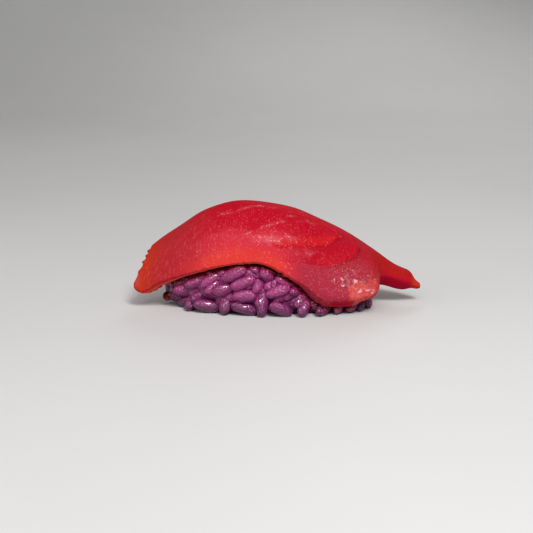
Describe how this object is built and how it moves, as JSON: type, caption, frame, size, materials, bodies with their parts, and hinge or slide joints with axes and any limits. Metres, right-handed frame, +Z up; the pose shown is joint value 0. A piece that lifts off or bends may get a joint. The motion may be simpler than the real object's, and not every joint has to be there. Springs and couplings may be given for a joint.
{
  "type": "tuna nigiri sushi",
  "caption": "Hand-pressed pad of purple vinegared rice with a draped slice of raw red tuna that overhangs both ends.",
  "frame": {"origin": "middle of the rice pad's foot, on the plane it stands on", "axes": "+X along the slice towards its narrow tail, -Y towards the served side, +Z up"},
  "size_m": [0.0824, 0.0313, 0.0298],
  "materials": {
    "purple_rice": "wet, glossy cooked grains",
    "tuna_flesh": "wet raw flesh, slightly translucent"
  },
  "bodies": {
    "root": {"rice": "purple_rice", "tuna_slice": "tuna_flesh"}
  },
  "joints": []
}
